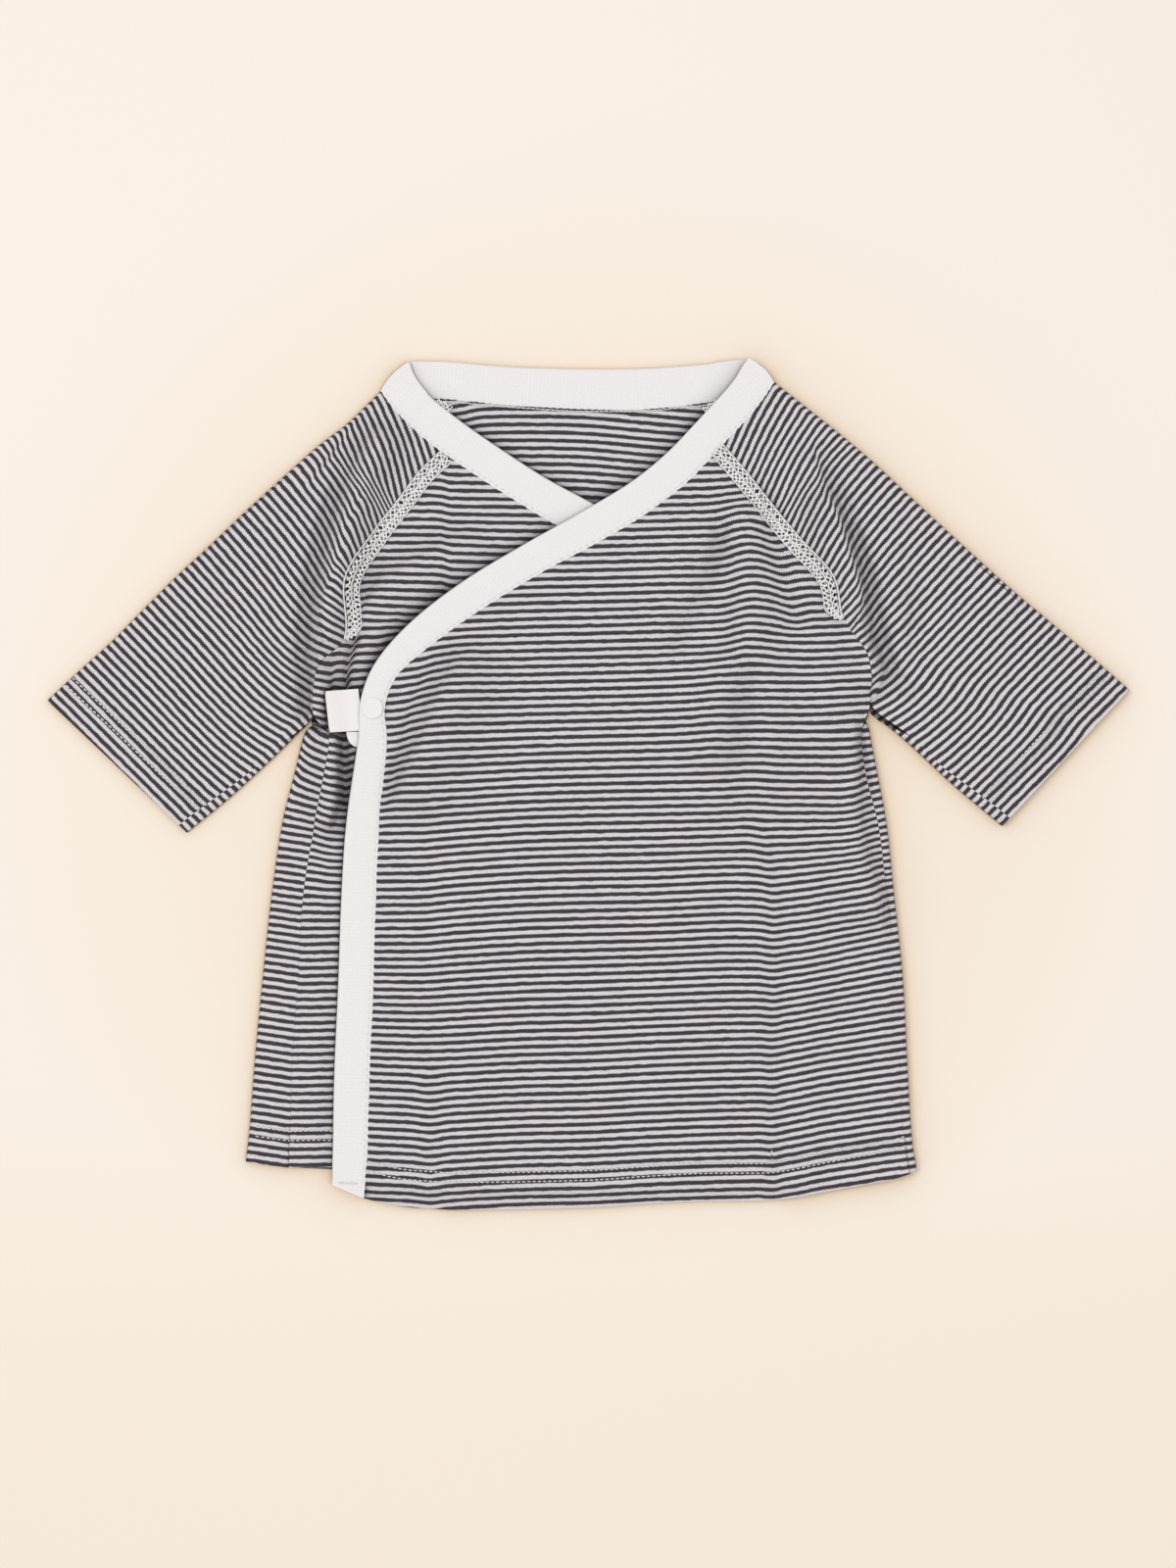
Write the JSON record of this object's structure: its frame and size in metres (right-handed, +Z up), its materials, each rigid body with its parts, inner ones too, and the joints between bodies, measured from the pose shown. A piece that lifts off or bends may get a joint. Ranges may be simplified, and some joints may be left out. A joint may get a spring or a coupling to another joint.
{
  "type": "baby wrap-over t-shirt",
  "caption": "Baby's wrap-over t-shirt with raglan sleeves and bound edges, in striped jersey, laid flat with its front up.",
  "frame": {"origin": "on the surface the garment lies on, under the middle of its bounding box", "axes": "+Z up from the surface, +Y towards the neck, +X towards the wearer's left sleeve"},
  "size_m": [0.398, 0.314, 0.0073],
  "materials": {
    "striped_jersey": "cotton single jersey with narrow charcoal and pale grey stripes",
    "white_rib": "white cotton rib, folded over the cut edge",
    "white_tape": "white woven cotton tape",
    "white_stud": "white satin press stud"
  },
  "bodies": {
    "root": {"back_panel": "striped_jersey", "front_under": "striped_jersey", "front_over": "striped_jersey", "sleeve_right": "striped_jersey", "sleeve_left": "striped_jersey", "binding_back": "white_rib", "binding_under": "white_rib", "binding_over": "white_rib", "stud_cap": "white_stud", "stud_socket": "white_stud", "tape_tab": "white_tape"}
  },
  "joints": []
}
